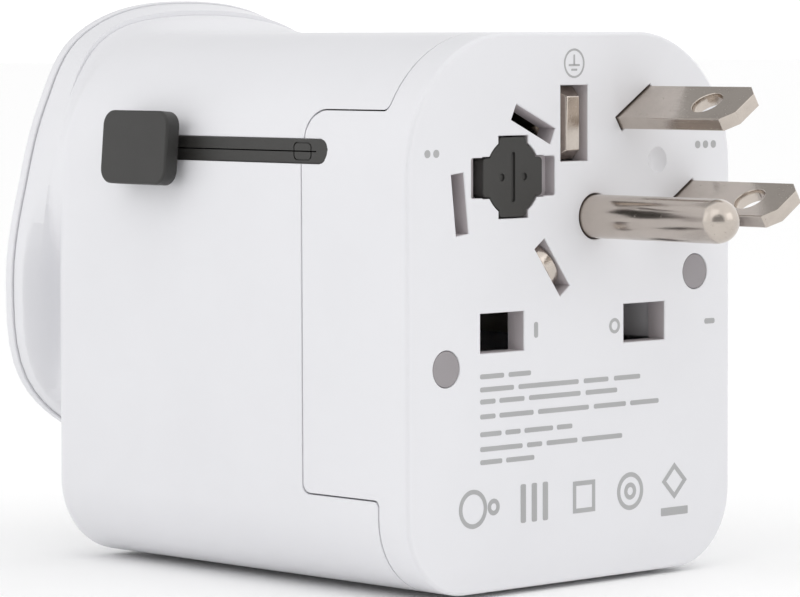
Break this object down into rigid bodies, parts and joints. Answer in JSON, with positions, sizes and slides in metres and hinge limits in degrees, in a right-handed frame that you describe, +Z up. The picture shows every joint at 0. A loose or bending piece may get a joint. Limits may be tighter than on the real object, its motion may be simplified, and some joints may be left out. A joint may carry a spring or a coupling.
{
  "type": "universal travel adapter",
  "caption": "Pocket travel adapter: a rounded white case with sliding plug groups worked by side knobs, a fuse drawer, and a flanged socket end with charging ports.",
  "frame": {"origin": "middle of the body's flat underside, 30 mm behind the plug face", "axes": "-Y out of the plug face with the pins, +Y out of the socket end, +Z up the case, +X to the right seen from the plug face"},
  "size_m": [0.057, 0.0863, 0.0637],
  "materials": {
    "white_plastic": "satin moulded white",
    "dark_plastic": "fine matte texture",
    "black_plastic": "matte",
    "grey_plastic": "matte",
    "plated_metal": "nickel plated, lightly handled",
    "brass": "bright stamped",
    "steel": "zinc plated",
    "green_board": "solder resist",
    "tape_yellow": "wound tape",
    "ceramic": "unglazed",
    "clear_lens": "clear polished"
  },
  "bodies": {
    "casing": {"au_track_liner": "black_plastic", "capacitor": "black_plastic", "case_screw_lower": "steel", "case_screw_upper": "steel", "contact_carrier": "white_plastic", "earth_contact": "brass", "earth_strip": "brass", "fuse_spring": "steel", "inner_frame": "white_plastic", "lamp_pipe": "clear_lens", "live_contact": "brass", "live_strip": "brass", "neutral_contact": "brass", "neutral_strip": "brass", "plug_housing": "white_plastic", "rear_housing": "white_plastic", "screw_plug_lower": "grey_plastic", "screw_plug_upper": "grey_plastic", "shutter_spring": "steel", "socket_cover": "white_plastic", "transformer": "tape_yellow", "uk_track_liner": "black_plastic", "us_track_liner": "black_plastic", "usb_board": "green_board", "usb_port_left": "steel", "usb_port_right": "steel", "usb_tongue_left": "black_plastic", "usb_tongue_right": "black_plastic"},
    "au_group": {"au_carriage": "white_plastic", "au_live_blade": "plated_metal", "au_neutral_blade": "plated_metal", "au_earth_blade": "plated_metal", "au_knob_spring": "steel"},
    "us_group": {"us_carriage": "white_plastic", "us_live_blade": "plated_metal", "us_neutral_blade": "plated_metal", "us_earth_pin": "plated_metal", "us_knob_spring": "steel"},
    "uk_group": {"uk_carriage": "white_plastic", "uk_live_pin": "plated_metal", "uk_neutral_pin": "plated_metal", "uk_earth_pin": "plated_metal", "uk_knob_spring": "steel"},
    "au_button": {"au_knob": "dark_plastic", "au_knob_stem": "dark_plastic"},
    "us_button": {"us_knob": "dark_plastic", "us_knob_stem": "dark_plastic"},
    "uk_button": {"uk_knob": "dark_plastic", "uk_knob_stem": "dark_plastic"},
    "fuse_drawer": {"fuse_cap": "black_plastic", "fuse_front_ferrule": "plated_metal", "fuse_barrel": "ceramic", "fuse_rear_ferrule": "plated_metal"},
    "shutter": {"shutter": "grey_plastic"}
  },
  "joints": [
    {"name": "au_slide", "type": "slide", "parent": "casing", "child": "au_group", "axis": [0, -1, 0], "range_m": [0, 0.0235]},
    {"name": "au_press", "type": "slide", "parent": "au_group", "child": "au_button", "axis": [1, 0, 0], "range_m": [0, 0.001], "stiffness_N_per_m": 600, "springref_m": -0.0005, "deforming": ["au_knob_spring"]},
    {"name": "us_slide", "type": "slide", "parent": "casing", "child": "us_group", "axis": [0, -1, 0], "range_m": [-0.0235, 0]},
    {"name": "us_press", "type": "slide", "parent": "us_group", "child": "us_button", "axis": [-1, 0, 0], "range_m": [0, 0.001], "stiffness_N_per_m": 600, "springref_m": -0.0005, "deforming": ["us_knob_spring"]},
    {"name": "uk_slide", "type": "slide", "parent": "casing", "child": "uk_group", "axis": [0, -1, 0], "range_m": [0, 0.0235]},
    {"name": "uk_press", "type": "slide", "parent": "uk_group", "child": "uk_button", "axis": [-1, 0, 0], "range_m": [0, 0.001], "stiffness_N_per_m": 600, "springref_m": -0.0005, "deforming": ["uk_knob_spring"]},
    {"name": "fuse_pull", "type": "slide", "parent": "casing", "child": "fuse_drawer", "axis": [0, -1, 0], "range_m": [0, 0.008], "deforming": ["fuse_spring"]},
    {"name": "shutter_drop", "type": "slide", "parent": "casing", "child": "shutter", "axis": [0, 0, -1], "range_m": [0, 0.0064], "stiffness_N_per_m": 60, "springref_m": -0.002, "deforming": ["shutter_spring"]}
  ]
}
